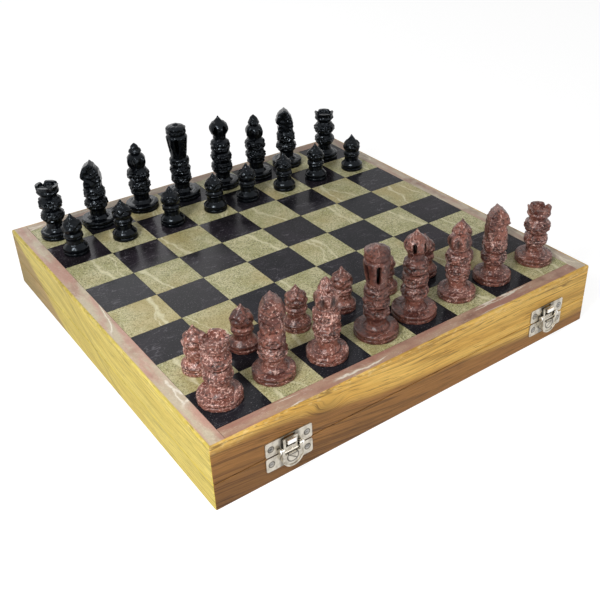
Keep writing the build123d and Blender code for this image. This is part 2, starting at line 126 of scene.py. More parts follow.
class Nodes:
    """A node tree under construction: a finish's, or the surround's."""

    def __init__(self, tree):
        self.tree = tree

    def node(self, kind, settings, inputs, out=0):
        """Any node: its settings first, then the values or links of its sockets."""
        made = self.tree.nodes.new(kind)
        for key, value in settings.items():
            setattr(made, key, value)
        self.fill(made, inputs)
        return Value(self.tree, made.outputs[out])

    def fill(self, made, inputs):
        """Gives a node's sockets their values or links."""
        for key, value in inputs.items():
            if isinstance(value, Value):
                self.tree.links.new(value.socket, made.inputs[key])
            else:
                made.inputs[key].default_value = value

    def looked_at(self):
        """1 for rays that come straight, mirrored or refracted from the camera, otherwise 0."""
        rays = self.node("ShaderNodeLightPath", {}, {}).socket.node.outputs
        straight, mirrored, refracted = [
            Value(self.tree, rays[f"Is {kind} Ray"])
            for kind in ("Camera", "Glossy", "Transmission")
        ]
        return straight.larger(mirrored).larger(refracted)


class Finish(Nodes):
    """A material under construction: one surface shader and the nodes that vary it."""

    def __init__(self, name, **constants):
        self.material = bpy.data.materials.new(name)
        self.material.use_nodes = True
        super().__init__(self.material.node_tree)
        self.shader = self.tree.nodes["Principled BSDF"]
        self.set(**constants)

    def set(self, **inputs):
        """Sockets of the surface shader, named with underscores for blanks."""
        self.fill(self.shader, {key.replace("_", " "): value for key, value in inputs.items()})

    def place(self):
        """Where a point is on the object, in metres."""
        return self.node("ShaderNodeTexCoord", {}, {}, out="Object")

    def axes(self, place):
        """The x, y and z of a place."""
        split = self.node("ShaderNodeSeparateXYZ", {}, {0: place}).socket.node
        return [Value(self.tree, socket) for socket in split.outputs]

    def point(self, x, y, z):
        """A place put together from its x, y and z."""
        return self.node("ShaderNodeCombineXYZ", {}, {"X": x, "Y": y, "Z": z})

    def cloud(self, place, scale, detail=3.0, roughness=0.5, swirl=0.0):
        """Soft noise from 0 to 1. On a place in metres, scale is its waves per metre."""
        inputs = {
            "Vector": place, "Scale": scale, "Detail": detail, "Roughness": roughness,
            "Distortion": swirl,
        }
        return self.node("ShaderNodeTexNoise", {}, inputs)

    def step(self, value, low, high, start=0.0, end=1.0):
        """Rises smoothly from start to end while value goes from low to high."""
        inputs = {"Value": value, 1: low, 2: high, 3: start, 4: end}
        return self.node("ShaderNodeMapRange", {"interpolation_type": "SMOOTHSTEP"}, inputs)

    def mixed(self, first, second, share):
        """The first colour where share is 0, the second where it is 1."""
        inputs = {0: share, 6: first, 7: second}
        return self.node("ShaderNodeMix", {"data_type": "RGBA"}, inputs, out=2)

    def shaded(self, colour, amount):
        """The colour, lightened or darkened by a factor."""
        return self.node("ShaderNodeHueSaturation", {}, {"Value": amount, "Color": colour})

    def bump(self, height, depth, strength=1.0):
        """Relief of that many metres, without geometry."""
        inputs = {"Strength": strength, "Distance": depth, "Height": height}
        self.set(Normal=self.node("ShaderNodeBump", {}, inputs))


# The surround is white where it is looked at, and lights the box only softly.
surround_light, surround_white = 0.26, 1.0
white = (1, 1, 1, 1)
world = bpy.data.worlds.new("studio")
world.use_nodes = True
bpy.context.scene.world = world
surround = Nodes(world.node_tree)
strength = surround.node(
    "ShaderNodeMapRange", {}, {0: surround.looked_at(), 3: surround_light, 4: surround_white}
)
surround.fill(surround.tree.nodes["Background"], {"Color": white, "Strength": strength})

# Each lamp's place, side and watts.
lamps = {
    "left_lamp": ((-0.46, -0.27, 0.44), 0.4, 1.9),
    "high_lamp": ((-0.62, -0.34, 0.62), 0.14, 2.9),
    "front_lamp": ((0.40, -1.10, 0.30), 0.18, 2.7),
    "back_lamp": ((0.14, 1.00, 0.66), 0.6, 1.8),
}
lit_spot = Vector((0, 0, 0.03))
for lamp_name, (lamp_place, lamp_side, watts) in lamps.items():
    lamp = bpy.data.objects.new(lamp_name, bpy.data.lights.new(lamp_name, "AREA"))
    lamp.data.size = lamp_side
    lamp.data.energy = watts
    lamp.location = lamp_place
    aim = lit_spot - Vector(lamp_place)
    lamp.rotation_euler = aim.to_track_quat("-Z", "Y").to_euler()
    bpy.context.scene.collection.objects.link(lamp)

# The floor is white where it is looked at too, apart from the soft shadow under the box.
floor_reach, floor_drop = 6.0, 0.0002
floor_glow, glow_share = 1.28, 0.66
floor_bm = bmesh.new()
bmesh.ops.create_grid(floor_bm, x_segments=1, y_segments=1, size=floor_reach)
bmesh.ops.translate(floor_bm, verts=floor_bm.verts, vec=(0, 0, -floor_drop))
floor_mesh = bpy.data.meshes.new("floor")
floor_bm.to_mesh(floor_mesh)
floor_bm.free()
floor = bpy.data.objects.new("floor", floor_mesh)
bpy.context.scene.collection.objects.link(floor)
floor_paint = Finish("floor_paint", Base_Color=(0.9, 0.9, 0.9, 1), Roughness=0.9)
painted = Value(floor_paint.tree, floor_paint.shader.outputs[0])
glow = floor_paint.node("ShaderNodeEmission", {}, {"Color": white, "Strength": floor_glow})
lit_floor = floor_paint.node(
    "ShaderNodeMixShader", {}, {0: floor_paint.looked_at() * glow_share, 1: painted, 2: glow}
)
floor_paint.fill(floor_paint.tree.nodes["Material Output"], {"Surface": lit_floor})
floor.data.materials.append(floor_paint.material)


# ---------------------------------------------------------------- wooden rails
# Yellow sapwood boards with brown heartwood, mitred at the corners and sawn through after
# gluing, so that the figure runs on from the base into the lid. Sanded and lightly oiled.

no_knot = (9.0, 9.0)
growth_rings = 13


def dress(finish, *names):
    """Gives CAD nodes a finish."""
    for name in names:
        nodes[name].data.materials.clear()
        nodes[name].data.materials.append(finish.material)


def tone(code):
    """A colour written as it is seen, as red, green and blue in hexadecimal."""
    seen = [int(code[i:i + 2], 16) / 255 for i in (0, 2, 4)]
    return [c / 12.92 if c <= 0.04045 else ((c + 0.055) / 1.055) ** 2.4 for c in seen] + [1.0]


def rail_wood(name, along, tones, figure, shift, knot=no_knot, lined=1.0):
    """Board finish in four tones: sapwood, its streaks, heartwood and late growth.

    figure gives, from the run along the board and the height, how deep in heartwood a point is
    and how far the growth lines dip there, both in metres, and how dark a stain is, if there is
    one. A knot is the (run, height) that the growth lines swerve round, shift is where in the
    log the board comes from, and lined is how strongly the thin growth lines show.
    """
    sap, streak, heart, late = [tone(code) for code in tones]
    wood = Finish(name, IOR=1.45, Specular_IOR_Level=0.3)
    x, y, z = wood.axes(wood.place())
    run, across = (x, y) if along == "x" else (y, x)
    deep, dip, stain = figure(wood, run, z)
    wander = wood.cloud(wood.point(run * 14 + shift, across * 14, z * 30), 1.0, 3.0) - 0.5
    from_knot = ((run - knot[0]) * (run - knot[0]) * 0.3 + (z - knot[1]) * (z - knot[1])).root()
    near_knot = wood.step(from_knot, 0.001, 0.011, 1.0, 0.0)
    level = z + dip + wander * 0.003 + near_knot * 0.006
    growth = wood.cloud(wood.point(run * 2.2 + shift, across * 20, level * 62), 1.0, 3.0, 0.45)
    ring = (growth * growth_rings).past_whole()
    late_wood = wood.step(ring, 0.45, 0.92) * wood.step(ring, 0.93, 1.0, 1.0, 0.0)
    late_line = wood.step(ring, 0.84, 0.91) * wood.step(ring, 0.93, 0.98, 1.0, 0.0)
    fibres = wood.cloud(wood.point(run * 30, across * 900, level * 1150 + shift), 1.0, 4.0, 0.65)
    pores = wood.cloud(wood.point(run * 80 + shift, across * 1500, level * 2200), 1.0, 2.0, 0.5)
    tint = wood.cloud(wood.point(run * 16 + shift, across * 30, level * 150), 1.0, 3.0)
    body = wood.mixed(sap, streak, wood.step(tint, 0.36, 0.66))
    edge = deep + wander * 0.008 + (growth - 0.5) * 0.010
    core = wood.step(edge, -0.0034, 0.0042)
    body = wood.mixed(body, heart, core * (0.82 + tint * 0.2))
    body = wood.mixed(body, late, wood.step(edge, 0.006, 0.040, 0.0, 0.55))
    body = wood.mixed(body, late, late_wood * (0.24 + core * 0.34) + near_knot * 0.35)
    body = wood.mixed(body, late, late_line * wood.step(tint, 0.40, 0.60, 0.1, 0.6) * lined)
    if stain is not None:
        body = wood.mixed(body, late, stain)
    body = wood.mixed(body, late, wood.step(pores, 0.58, 0.70, 0.0, 0.5))
    # Painted highlight: along the top edge the wood is painted pale in specks, where the
    # rounding catches the light.
    wear_and_glints = wood.cloud(wood.point(run * 260, across * 500, z * 500), 1.0, 3.0, 0.6)
    rim = wood.step(z, 0.0385, 0.0440) * wood.step(wear_and_glints, 0.50, 0.66, 0.0, 0.3)
    body = wood.mixed(body, tone("e6d29c"), rim)
    light = (1.18 - wood.step(fibres, 0.34, 0.68) * 0.32) * wood.step(pores, 0.60, 0.70, 1.0, 0.75)
    wood.set(Base_Color=wood.shaded(body, light), Roughness=0.44 + fibres * 0.2)
    wood.bump(fibres - pores * 0.5, 0.00015, 0.6)
    return wood


def front_figure(wood, run, z):
    """Heartwood under an edge that falls to the right in two sweeps, and lines that fall too."""
    first_fall = wood.step(run, -0.150, 0.01, 0.0, 0.0217)
    second_fall = wood.step(run, 0.0, 0.13, 0.0, 0.0115)
    dip = wood.step(run, -0.170, 0.0, 0.0, 0.016) + run * 0.035
    return 0.0425 - z - first_fall - second_fall, dip, None


def left_figure(wood, run, z):
    """Heartwood in a wedge at the back, and a dark streak that slants up through the middle."""
    dip = wood.step(run, -0.05, 0.10, 0.03, 0.0)
    from_streak = abs(z - 0.022 - (run - 0.0105) * 0.55)
    return run * 0.5 - z - 0.0300, dip, wood.step(from_streak, 0.0004, 0.0030, 0.40, 0.0)


def back_figure(wood, run, z):
    """Heartwood along the foot, under nearly level growth lines."""
    return 0.012 + run * 0.05 - z, run * -0.03, None


def right_figure(wood, run, z):
    """A little heartwood along the foot, under nearly level growth lines."""
    return 0.008 - run * 0.06 - z, run * 0.04, None


boards = {
    "front": rail_wood(
        "front_board", "x", ("c79a48", "dab15c", "865a2e", "523419"), front_figure, 3.1,
        knot=(-0.078, 0.0325),
    ),
    "left": rail_wood(
        "left_board", "y", ("c4ae50", "cfbc60", "a08252", "84702c"), left_figure, 7.7, lined=0.3
    ),
    "back": rail_wood(
        "back_board", "x", ("c99a4c", "d8b060", "8a6038", "6a4322"), back_figure, 12.4
    ),
    "right": rail_wood(
        "right_board", "y", ("c9a04e", "d8b565", "8f6a3c", "75522a"), right_figure, 17.9
    ),
}
for side, board in boards.items():
    dress(board, f"base_{side}_rail", f"lid_{side}_rail")

# ---------------------------------------------------------------- floor and panel
# Thin ply sheets, let into rabbets and pinned: plain pale veneer with a straight figure.
ply = Finish("ply_veneer", Specular_IOR_Level=0.3)
ply_x, ply_y, ply_z = ply.axes(ply.place())
ply_figure = ply.cloud(ply.point(ply_x * 90, ply_y * 5, ply_z * 90), 1.0, 4.0, 0.6)
ply_pores = ply.cloud(ply.point(ply_x * 1500, ply_y * 60, ply_z * 1500), 1.0, 2.0)
ply_tint = ply.mixed(tone("c19a63"), tone("a77c48"), ply.step(ply_figure, 0.35, 0.7))
ply.set(
    Base_Color=ply.shaded(ply_tint, 1.02 - ply.step(ply_pores, 0.55, 0.7) * 0.18),
    Roughness=0.6 + ply_figure * 0.15,
)
ply.bump(ply_pores, 0.0001, 0.5)
dress(ply, "base_floor", "lid_panel")

# ---------------------------------------------------------------- felt linings
# Two squares of green felt, glued to the floor and under the panel, where the men lie.
felt = Finish("green_felt", Roughness=0.95, Sheen_Weight=0.10, Sheen_Roughness=0.5,
              Specular_IOR_Level=0.1)
felt_place = felt.place()
felt_pile = felt.cloud(felt_place, 1400.0, 5.0, 0.7)
felt_patches = felt.cloud(felt_place, 30.0, 3.0)
felt.set(Base_Color=felt.shaded(
    felt.mixed(tone("2f4d2c"), tone("466a3c"), felt_pile), 0.85 + felt_patches * 0.35
))
felt.bump(felt_pile, 0.0005, 0.8)
felt_thickness, felt_ripple = 0.0007, 0.00012
felt_cells, waves_per_metre = 40, 30
# What each felt lies on, how far it ripples away from that, and which ripples it has.
felt_rests = {"base": ("base_floor", felt_ripple, 0.0), "lid": ("lid_panel", -felt_ripple, 4.0)}
for half, (support, ripple, seed) in felt_rests.items():
    low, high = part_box(f"{half}_lining")
    felt_bm = bmesh.new()
    bmesh.ops.create_grid(
        felt_bm, x_segments=felt_cells, y_segments=felt_cells, size=(high.x - low.x) / 2
    )
    for v in felt_bm.verts:
        inner = max(0.0, 1 - (max(abs(v.co.x), abs(v.co.y)) / high.x) ** 8)
        wave = noise.noise(Vector((v.co.x * waves_per_metre, v.co.y * waves_per_metre, seed)))
        v.co.z = (low.z + high.z) / 2 + ripple * inner * wave
    felt_mesh = bpy.data.meshes.new(f"{half}_felt")
    felt_bm.to_mesh(felt_mesh)
    felt_bm.free()
    felt_piece = bpy.data.objects.new(f"{half}_felt", felt_mesh)
    bpy.context.scene.collection.objects.link(felt_piece)
    thick = felt_piece.modifiers.new("thickness", "SOLIDIFY")
    thick.thickness = felt_thickness
    thick.offset = 0
    felt_piece.data.materials.append(felt.material)
    for face in felt_piece.data.polygons:
        face.use_smooth = True
    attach(felt_piece, half)
    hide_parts(f"{half}_lining")

# ---------------------------------------------------------------- stone squares
# Sawn stone tiles, glued edge to edge and polished flat together. Each one comes from another
# part of the slab, so its veins and tint start afresh.
square = 0.0354
half_board, middle_file = 4 * square, 3.5
# How far apart on the slab the tiles are taken, along its x, y and z.
slab_shifts = (3.7, 1.9, 0.31)


def tile_place(stone):
    """The place on the slab, the place on the tile, and three chances drawn for each tile."""
    x, y, z = stone.axes(stone.place())
    file, rank = ((x + half_board) / square).floor(), ((y + half_board) / square).floor()
    chances = stone.axes(stone.node(
        "ShaderNodeTexWhiteNoise", {"noise_dimensions": "2D"},
        {"Vector": stone.point(file + 0.5, rank + 0.5, 0.0)}, out="Color",
    ))
    slab = stone.point(
        x + chances[0] * slab_shifts[0], y + chances[1] * slab_shifts[1],
        z + file * slab_shifts[2],
    )
    on_x, on_y = x - (file - middle_file) * square, y - (rank - middle_file) * square
    return slab, on_x, on_y, chances


def crack(stone, slab, x, y, from_middle, lean, width):
    """A vein across a tile, of uneven width: about 1 on it and 0 beside it.

    It passes the tile's middle at from_middle and leans that much over its length.
    """
    sway = stone.cloud(slab, 42.0, 3.0, 0.55) - 0.5
    swell = stone.cloud(slab, 120.0, 2.0)
    line = abs(x - from_middle - y * lean + sway * 0.016)
    wisps = stone.cloud(slab, 210.0, 3.0, 0.6)
    return stone.step(line / (swell * swell * width), 0.2, 4.4, 1.1, 0.0) * stone.step(
        wisps, 0.25, 0.62, 0.35, 1.0
    )


green_stone = Finish("green_stone", IOR=1.5, Specular_IOR_Level=0.22)
slab, tile_x, tile_y, chances = tile_place(green_stone)
speckle = green_stone.cloud(slab, 760.0, 4.0, 0.75)
grains = green_stone.cloud(slab, 1900.0, 2.0, 0.6)
drift = green_stone.cloud(slab, 70.0, 4.0, 0.6)
olive = green_stone.mixed(tone("a09c68"), tone("c4bc92"), green_stone.step(drift, 0.34, 0.66))
olive = green_stone.mixed(olive, tone("66653c"), green_stone.step(speckle, 0.45, 0.62, 0.0, 0.95))
olive = green_stone.mixed(olive, tone("e2deb8"), green_stone.step(grains, 0.48, 0.64, 0.0, 0.75))
rusty = green_stone.cloud(slab, 24.0, 3.0) + chances[1] * 0.25
olive = green_stone.mixed(olive, tone("b09a62"), green_stone.step(rusty, 0.62, 0.85, 0.0, 0.5))
# Most tiles have a first vein, and about half have a second, finer one.
first = crack(
    green_stone, slab, tile_x, tile_y, from_middle=(chances[0] - 0.5) * 0.024,
    lean=(chances[1] - 0.6) * 0.6, width=0.0018,
)
second = crack(
    green_stone, slab, tile_x, tile_y, from_middle=(chances[2] - 0.5) * 0.030,
    lean=(chances[0] - 0.5) * 0.9, width=0.0009,
)
veins = (first * (chances[2] > 0.22)).larger(second * (chances[1] > 0.45))
veined = green_stone.mixed(olive, tone("ded8b4"), veins * 0.8)
green_stone.set(
    Base_Color=green_stone.shaded(veined, 0.95 + chances[0] * 0.07),
    Roughness=0.32 + speckle * 0.25,
)
green_stone.bump(speckle, 0.00005, 0.5)
dress(green_stone, "light_tiles")

black_stone = Finish("black_stone", IOR=1.5, Specular_IOR_Level=0.075)
slab, tile_x, tile_y, chances = tile_place(black_stone)
smoke = black_stone.cloud(slab, 40.0, 5.0, 0.6)
dust = black_stone.cloud(slab, 1100.0, 2.0, 0.6)
charcoal = black_stone.mixed(tone("191619"), tone("2d272e"), black_stone.step(smoke, 0.35, 0.7))
charcoal = black_stone.mixed(charcoal, tone("222429"), chances[0] * 0.7)
streak = black_stone.point(tile_x * 34 + tile_y * 12 + chances[0], tile_y * 90, chances[1] * 9)
thread = abs(black_stone.cloud(streak, 1.0, 3.0, 0.6) - 0.5)
threads = black_stone.step(thread, 0.0, 0.014, 0.30, 0.0) * black_stone.step(smoke, 0.46, 0.58)
charcoal = black_stone.mixed(charcoal, tone("8d8a90"), threads)
specks = black_stone.step(dust, 0.61, 0.72, 0.0, 0.5)
charcoal = black_stone.mixed(charcoal, tone("8e8b90"), specks)
black_stone.set(Base_Color=charcoal, Roughness=0.08 + smoke * 0.16)
black_stone.bump(dust, 0.00003, 0.4)
dress(black_stone, "dark_tiles")

# ---------------------------------------------------------------- stone border
# Four strips of pink marble with cream and grey veins. The side strips run the full depth.
vein_taper = 0.008


def border_stone(name, along, tones, reach, veined):
    """Marble in four tones: pink base, drifting clouds, pale veins and darker shade.

    The veins wander along the strip. reach is how broad the cream beside a vein is; veined
    lists the (start, end) of the stretches with a bright vein, along the run.
    """
    base, cloudy, vein, shade = [tone(code) for code in tones]
    marble = Finish(name, IOR=1.5, Specular_IOR_Level=0.3)
    place = marble.place()
    x, y, z = marble.axes(place)
    run, across = (x, y) if along == "x" else (y, x)
    drift = marble.cloud(marble.point(run * 22, across * 90, z), 1.0, 4.0, 0.6)
    grain = marble.cloud(place, 800.0, 4.0, 0.7)
    jagged = marble.cloud(marble.point(run * 150, across * 150, z), 1.0, 3.0, 0.6) - 0.5
    wander = marble.cloud(marble.point(run * 9, across * 56, z + reach * 90), 1.0, 2.0, 0.4, 0.3)
    line = abs(wander - 0.5 + jagged * 0.07)
    swell = marble.cloud(marble.point(run * 50, across * 50, z + 9), 1.0, 3.0)
    present = None
    for start, end in veined:
        begun = marble.step(run, start, start + vein_taper)
        here = begun * marble.step(run, end - vein_taper, end, 1.0, 0.0)
        present = here if present is None else present.larger(here)
    cream = marble.step(line / swell, 0.3 * reach, reach, 0.75, 0.0) * (0.35 + present * 0.65)
    bright = marble.step(line / swell, 0.004, 0.034, 1.0, 0.0) * present
    hair = abs(marble.cloud(marble.point(run * 34, across * 90, z + 5), 1.0, 4.0, 0.6, 0.5) - 0.5)
    hairs = marble.step(hair, 0.0, 0.010, 0.25, 0.0)
    body = marble.mixed(base, cloudy, marble.step(drift, 0.42, 0.60))
    body = marble.mixed(body, shade, marble.step(swell, 0.54, 0.70, 0.0, 0.8))
    body = marble.mixed(body, cloudy, cream)
    body = marble.mixed(body, vein, bright.larger(hairs) * 0.9)
    marble.set(
        Base_Color=marble.shaded(body, 0.74 + grain * 0.52),
        Roughness=0.36 + grain * 0.2,
    )
    marble.bump(grain, 0.00005, 0.5)
    return marble


strips = {
    "left": (
        "y", ("bf9787", "c5b79e", "ece4d4", "ab8676"), 0.12,
        [(-0.118, -0.040), (-0.028, 0.035), (0.088, 0.115)],
    ),
    "front": (
        "x", ("a27767", "b0907a", "e6ddcc", "845f50"), 0.10,
        [(-0.107, -0.088), (-0.070, -0.025), (0.045, 0.10)],
    ),
    "right": (
        "y", ("b39684", "c2b5a0", "ddd3be", "8c6a5c"), 0.16,
        [(-0.15, -0.08), (-0.02, 0.12)],
    ),
    "back": (
        "x", ("b08d78", "bba890", "ddd2be", "947360"), 0.16,
        [(-0.15, -0.03), (0.02, 0.13)],
    ),
}
for side, strip in strips.items():
    dress(border_stone(f"{side}_border_stone", *strip), f"border_{side}")

# ---------------------------------------------------------------- hinges and screws
# Two pressed brass butt hinges behind, let into the rims, and countersunk steel screws.
rubbing = (300.0, 300.0, 5200.0)


def metal(name, bright, dull, roughness, scratch, painted_shade=None, painted_highlight=None):
    """Plated or plain metal, dull and rougher in patches, with fine level rubbing marks.

    The last two give where shade is painted on, dark, and where a highlight is painted on, near
    white.
    """
    plate = Finish(name, Metallic=1.0)
    place = plate.place()
    wear_and_glints = plate.cloud(place, 260.0, 4.0, 0.6)
    lines = plate.cloud(
        plate.node("ShaderNodeMapping", {}, {"Vector": place, "Scale": rubbing}), 1.0, 2.0
    )
    colour = plate.mixed(bright, dull, plate.step(wear_and_glints, 0.4, 0.75))
    # Painted shade: darker where the given mask says.
    if painted_shade:
        colour = plate.mixed(colour, tone("2e2821"), painted_shade(plate, *plate.axes(place)))
    # Painted highlight: near white where the given mask says.
    if painted_highlight:
        colour = plate.mixed(colour, tone("faf8f4"), painted_highlight(plate, *plate.axes(place)))
    plate.set(Base_Color=colour, Roughness=roughness + wear_and_glints * scratch)
    plate.bump(lines, 0.00002, 0.35)
    return plate


brass = metal("hinge_brass", tone("c9a45c"), tone("9a7a40"), 0.25, 0.3)
steel = metal("screw_steel", tone("a09d98"), tone("6b6864"), 0.22, 0.25)
for side in ("left", "right"):
    dress(brass, f"{side}_hinge_base_leaf", f"{side}_hinge_lid_leaf", f"{side}_hinge_pin")
dress(steel, "lid_hinge_screws", "base_hinge_screws", "lid_latch_screws", "base_latch_screws")

# ---------------------------------------------------------------- toggle latches
# Pressed steel, bright nickel plated: a keeper on the lid, and on the base a plate with ears,
# a lever with a finger lip, and a windowed loop that draws over the keeper's hook.
latch_middles = [
    (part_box(f"{side}_latch_keeper")[0].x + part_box(f"{side}_latch_keeper")[1].x) / 2
    for side in ("left", "right")
]
screw_heights = [
    (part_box(f"{half}_latch_screws")[0].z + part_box(f"{half}_latch_screws")[1].z) / 2
    for half in ("base", "lid")
]
rail_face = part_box("base_front_rail")[0].y
# How far out from a latch's middle its screws stand, and the radii between which the painted
# shade round a screw head, as in its countersink, grows, stays and fades.
screw_out = 0.0122
shade_starts, shade_full, shade_fades, shade_ends = 0.0015, 0.0018, 0.0019, 0.0025
# How far to either side the painted shade behind a loop and a lever reaches, and how dark it is.
behind_latch = (0.0056, 0.0080, 0.60, 0.0)
# Between which distances from the rail a plate's flat ends, and a hook's face begins.
flat_proud, hook_proud = (0.0012, 0.0009), (0.0034, 0.0028)
# The pressed mark: its middle and ring, its two strokes, and the width of its lines and how
# dark their painted shade is.
mark_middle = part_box("left_latch_lever")[0].z + 0.0071
mark_radius, mark_inside = 0.0037, (0.0034, 0.0036)
stroke_slope, stroke_drop, bar_rise = 0.8, 0.0004, 0.0016
mark_line = (0.0002, 0.0006, 0.8, 0.0)


def from_latch(x):
    """How far a point is from the middle of the nearer latch, across."""
    halfway, apart = sum(latch_middles) / 2, (latch_middles[1] - latch_middles[0]) / 2
    return abs(x - halfway) - apart


def plate_painted_shade(plate, x, y, z):
    """Painted shade round the screw heads and on the plates behind the loop and the lever."""
    level = abs(z - sum(screw_heights) / 2) - (screw_heights[1] - screw_heights[0]) / 2
    out = abs(from_latch(x)) - screw_out
    reach = (out * out + level * level).root()
    grown = plate.step(reach, shade_starts, shade_full)
    ring = grown * plate.step(reach, shade_fades, shade_ends, 0.95, 0.0)
    behind = plate.step(abs(from_latch(x)), *behind_latch)
    flat = plate.step(y, *[rail_face - proud for proud in flat_proud])
    return ring.larger(behind * flat)


def hook_painted_highlight(plate, x, y, z):
    """The face of the hook, where a highlight is painted near white."""
    return plate.step(y, *[rail_face - proud for proud in hook_proud], 1.0, 0.0)


def lever_mark(plate, x, y, z):
    """A plain pressed ring with two strokes in it, on the lever's face, its lines painted dark as
    shade.
    """
    across, up = from_latch(x), z - mark_middle
    reach = (across * across + up * up).root()
    ring = plate.step(abs(reach - mark_radius), *mark_line)
    stroke = plate.step(abs(up - across * stroke_slope + stroke_drop), *mark_line)
    bar = plate.step(abs(up - bar_rise), *mark_line)
    inside = plate.step(reach, *mark_inside, 1.0, 0.0)
    return ring.larger(stroke.larger(bar) * inside)


nickel_tones = (tone("cdc7ba"), tone("a39c90"))
# The plates get painted shade round the screws and behind the loop and the lever, and a painted
# highlight on the hook's face.
plate_nickel = metal("plate_nickel", *nickel_tones, 0.24, 0.22, plate_painted_shade, hook_painted_highlight)
# The lever's pressed mark is painted dark, as the shade in its lines.
lever_nickel = metal("lever_nickel", *nickel_tones, 0.20, 0.22, lever_mark)
wire_nickel = metal("loop_nickel", *nickel_tones, 0.30, 0.22)
for side in ("left", "right"):
    dress(plate_nickel, f"{side}_latch_keeper", f"{side}_latch_base_plate")
    dress(lever_nickel, f"{side}_latch_lever")
    dress(wire_nickel, *[f"{side}_latch_{part}" for part in ("loop", "rivets", "cross_pin")])

# ---------------------------------------------------------------- carved men
# Each man is turned from soft stone, then carved by hand with rings, eyes and slots, and waxed.
# An outline lists (radius, height) stations in millimetres; a third value is how far the
# stretch up to that station swells outwards.
MM = 0.001
ring_pitch, spin_tolerance = 0.62, 1e-4
foot_groove = ("ring", 2.9, 0.7, 1, 0, 0.35)
foot_top, seat_radius, foot_edge = 7, 8.6, 10.0


def foot(radius):
    """Round foot with a turned groove, and the small ring that the stem rises from."""
    return [
        (0, 0), (radius - 0.6, 0), (radius, 0.6), (radius, 2.5), (radius - 0.6, 2.9),
        (radius, 3.3), (radius, 5.0), (radius - 0.6, 5.6), (7.8, 6.4), (6.0, 8.2),
    ]


def turned(outline, steps):
    """Spins an outline into a closed body, in millimetres."""
    body = bmesh.new()
    body.verts.layers.float.new("hollow")
    body.verts.layers.float.new("paler")
    chain = [body.verts.new((outline[0][0], 0, outline[0][1]))]
    for start, end in zip(outline, outline[1:]):
        (x0, z0), (x1, z1) = start[:2], end[:2]
        swell = end[2] if len(end) > 2 else 0.0
        length = hypot(x1 - x0, z1 - z0)
        parts = max(1, ceil(length / ring_pitch))
        for k in range(1, parts + 1):
            t = k / parts
            out = 4 * swell * t * (1 - t) / length
            x = x0 + (x1 - x0) * t + out * (z1 - z0)
            z = z0 + (z1 - z0) * t - out * (x1 - x0)
            chain.append(body.verts.new((x, 0, z)))
    chain.append(body.verts.new((0, 0, outline[-1][1])))
    edges = [body.edges.new(pair) for pair in zip(chain, chain[1:])]
    bmesh.ops.spin(
        body, geom=chain + edges, cent=(0, 0, 0), axis=(0, 0, 1), angle=2 * pi, steps=steps,
        use_merge=True,
    )
    bmesh.ops.remove_doubles(body, verts=body.verts, dist=spin_tolerance)
    bmesh.ops.recalc_face_normals(body, faces=body.faces)
    return body


def bell(x):
    """1 at 0, falling to nothing past 2."""
    return exp(-x * x)


def carved(body, cuts):
    """Moves the surface in or out. A cut is (kind, height, half height, count, turn, depth).

    An eye is a drilled hole with a ring round it, a slot is cut right in between two pillars,
    a scallop is an arched line, a flute an upright hollow, a ring a turned groove, and bands
    are fine wavy lines. What is cut away is kept in "hollow", and what stands out counts there
    below nothing; the stone's finish paints the cuts darker, as shade, and what stands out
    lighter, as light.
    """
    cuts = cuts + [foot_groove]
    hollow = body.verts.layers.float["hollow"]
    for v in body.verts:
        r = hypot(v.co.x, v.co.y)
        if r < 0.5:
            continue
        angle = atan2(v.co.y, v.co.x)
        move = 0.0
        for kind, height, half, count, turn, depth in cuts:
            up = (v.co.z - height) / half
            if abs(up) > 1.6:
                continue
            pitch = 2 * pi / count
            side = ((angle - turn + pitch / 2) % pitch - pitch / 2) / (pitch / 2)
            if kind == "eye":
                reach = hypot(side / 0.82, up)
                rim, groove = bell((reach - 0.85) / 0.16), bell((reach - 0.6) / 0.16)
                move += depth * (0.4 * rim - 0.6 * groove)
                move -= depth * bell(reach / 0.24)
            elif kind == "slot" and abs(up) < 1:
                wide = 0.30 * (1 - up**8)
                move -= depth * (1 / (1 + exp((abs(side) - wide) * 34)))
            elif kind == "scallop":
                arch = up - 0.8 * (1 - side * side) + 0.4
                move -= depth * bell(arch / 0.30)
            elif kind == "flute":
                move -= depth * (1 - abs(side)) * max(0.0, 1 - up * up)
            elif kind == "ring":
                move -= depth * bell(up / 0.6)
            elif kind == "bands" and abs(up) < 1:
                move -= depth * max(0.0, sin(v.co.z * 2.5 + 0.8 * sin(angle * count + turn))) ** 3
        share = max(0.15, (r + move) / r)
        # The cut depth, for the painted shade in the cuts and the painted light on what stands
        # out.
        v[hollow] = min(2.0, max(-0.6, -move))
        if v.co.z < foot_top:
            seat = bell((r - seat_radius) / 0.5) * (v.co.z > 5)
            v.co.z -= 0.5 * seat
            # The seat's groove is painted darker, as shade, and the foot's edge lighter, as a
            # highlight.
            v[hollow] += 0.8 * seat - 0.5 * bell((r - foot_edge) / 0.6) * (v.co.z > 5)
        v.co.x *= share
        v.co.y *= share
    return body


def chipped(body, depth, seed):
    """Small unevenness of hand work, in broad and in fine chips, no higher than the man."""
    top = max(v.co.z for v in body.verts)
    for v in body.verts:
        if v.co.z > 0.3:
            spot = Vector((v.co.x + seed, v.co.y, v.co.z))
            v.co += v.normal * (noise.noise(spot * 0.5) + 0.6 * noise.noise(spot * 1.1)) * depth
            v.co.z = min(v.co.z, top)
    return body


def pawn_shape():
    outline = foot(9.2) + [
        (5.8, 11.6), (6.6, 12.8), (6.3, 15.8, 0.8), (5.8, 16.6), (5.2, 25.4, 1.9),
        (0.4, 31.3, -0.5),
    ]
    return carved(turned(outline, steps=64), [
        ("scallop", 21.6, 3.2, 5, 0.3, 0.9), ("scallop", 25.6, 2.8, 5, 0.93, 0.8),
        ("ring", 14.3, 0.8, 1, 0, 0.7), ("flute", 18.4, 2.0, 10, 0, 0.5),
    ])


